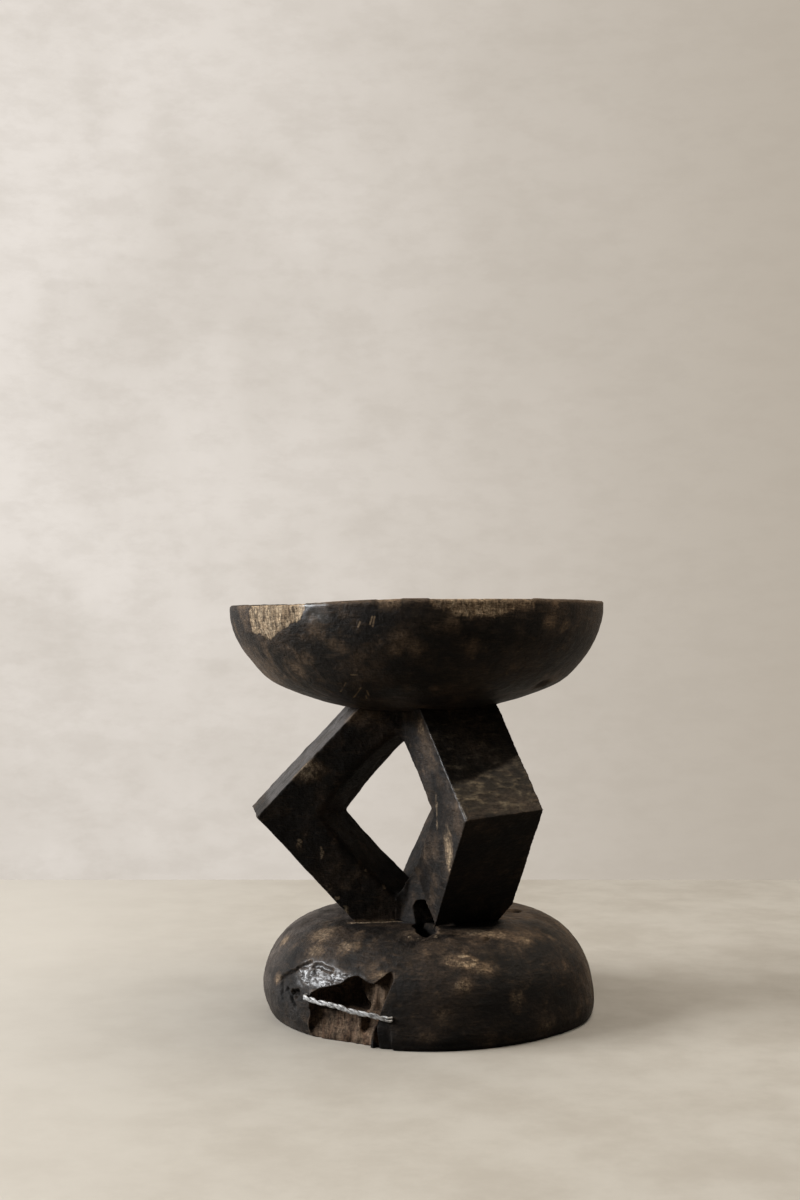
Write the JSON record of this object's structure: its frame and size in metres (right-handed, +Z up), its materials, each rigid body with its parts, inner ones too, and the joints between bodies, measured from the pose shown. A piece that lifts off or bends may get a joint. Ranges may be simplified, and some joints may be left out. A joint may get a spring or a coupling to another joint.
{
  "type": "carved wooden stool",
  "caption": "Low stool carved from a block of dark wood: dished round seat on elbow-shaped legs over a heavy domed foot, with a twisted wire stapled across a break in the foot.",
  "frame": {"origin": "on the floor under the middle of the seat", "axes": "+Z up, the picture looks along +Y, +X to its right"},
  "size_m": [0.34, 0.34, 0.373],
  "materials": {
    "carved_wood": "satin, waxed and worn",
    "repair_wire": "satin"
  },
  "bodies": {
    "root": {"seat": "carved_wood", "left_leg": "carved_wood", "right_leg": "carved_wood", "rear_leg": "carved_wood", "foot": "carved_wood", "wire_strand_a": "repair_wire", "wire_strand_b": "repair_wire"}
  },
  "joints": []
}
